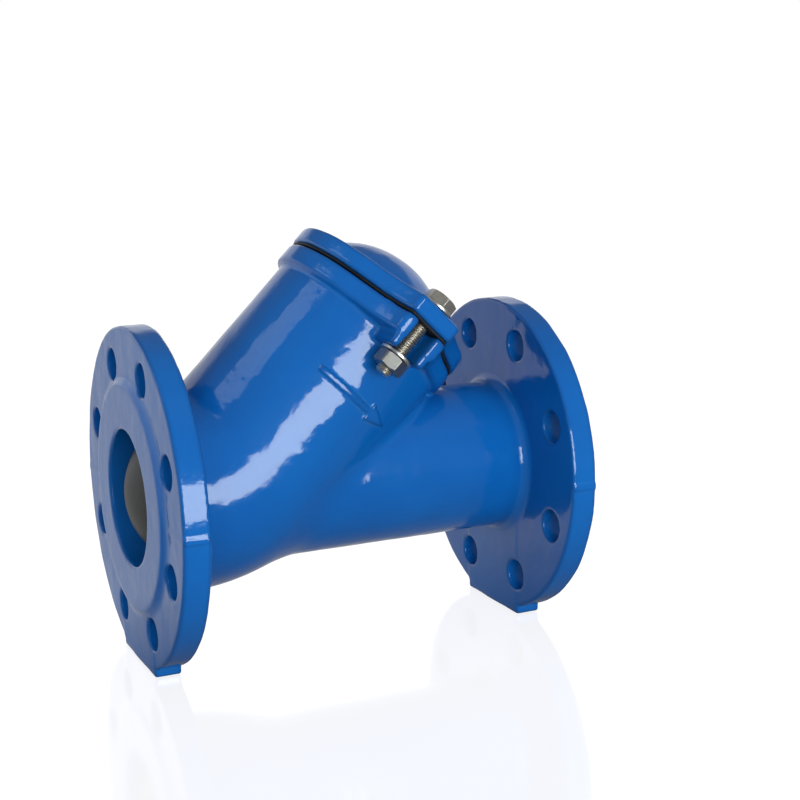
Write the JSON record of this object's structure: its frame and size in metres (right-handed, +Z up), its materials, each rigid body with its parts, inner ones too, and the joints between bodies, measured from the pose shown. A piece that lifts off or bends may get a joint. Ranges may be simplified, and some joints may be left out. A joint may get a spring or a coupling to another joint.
{
  "type": "ball check valve",
  "caption": "Flanged Y-pattern ball check valve with a bolted domed cover and a rubber-coated ball that lifts off its seat.",
  "frame": {"origin": "on the floor under the middle of the face-to-face length; the pipe axis is 100 mm above it", "axes": "+X along the flow from inlet to outlet, +Y to the left when looking downstream, +Z up"},
  "size_m": [0.26, 0.2014, 0.2503],
  "materials": {
    "body_enamel": "thick glossy blue epoxy powder coat over cast iron, with orange peel",
    "cover_enamel": "thick glossy blue epoxy powder coat over cast iron, with orange peel",
    "gasket_rubber": "matte black NBR sheet",
    "ball_metal": "as cast, hidden under the rubber",
    "ball_rubber": "satin black moulded NBR",
    "stainless_bolt": "bright stainless steel",
    "stainless_nut": "bright stainless steel",
    "stainless_washer": "bright stainless steel"
  },
  "bodies": {
    "valve_body": {"body_casting": "body_enamel", "cover_gasket": "gasket_rubber"},
    "cover": {"cover": "cover_enamel", "right_head_washer": "stainless_washer", "right_cover_bolt": "stainless_bolt", "left_head_washer": "stainless_washer", "left_cover_bolt": "stainless_bolt"},
    "ball": {"ball_core": "ball_metal", "ball_rubber_coat": "ball_rubber"},
    "right_washer": {"right_nut_washer": "stainless_washer"},
    "right_nut": {"right_cover_nut": "stainless_nut"},
    "left_washer": {"left_nut_washer": "stainless_washer"},
    "left_nut": {"left_cover_nut": "stainless_nut"}
  },
  "joints": [
    {"name": "ball_lift", "type": "slide", "parent": "valve_body", "child": "ball", "axis": [0.7525, 0, 0.6586], "range_m": [0, 0.1299]},
    {"name": "cover_lift", "type": "slide", "parent": "valve_body", "child": "cover", "axis": [0.7071, 0, 0.7071], "range_m": [0, 0.042]},
    {"name": "right_washer_drop", "type": "slide", "parent": "valve_body", "child": "right_washer", "axis": [-0.7071, 0, -0.7071], "range_m": [0, 0.0135]},
    {"name": "right_nut_turn", "type": "hinge", "parent": "right_washer", "child": "right_nut", "pos_m": [0.00678, -0.0709, 0.17778], "axis": [-0.7071, 0, -0.7071], "range_deg": [0, 3241]},
    {"name": "left_washer_drop", "type": "slide", "parent": "valve_body", "child": "left_washer", "axis": [-0.7071, 0, -0.7071], "range_m": [0, 0.0135]},
    {"name": "left_nut_turn", "type": "hinge", "parent": "left_washer", "child": "left_nut", "pos_m": [0.00678, 0.0709, 0.17778], "axis": [-0.7071, 0, -0.7071], "range_deg": [0, 3241]}
  ],
  "couplings": [
    {"joint": "right_nut_turn", "follows": "right_washer_drop", "rad_per_m": 4188.8},
    {"joint": "left_nut_turn", "follows": "left_washer_drop", "rad_per_m": 4188.8}
  ]
}
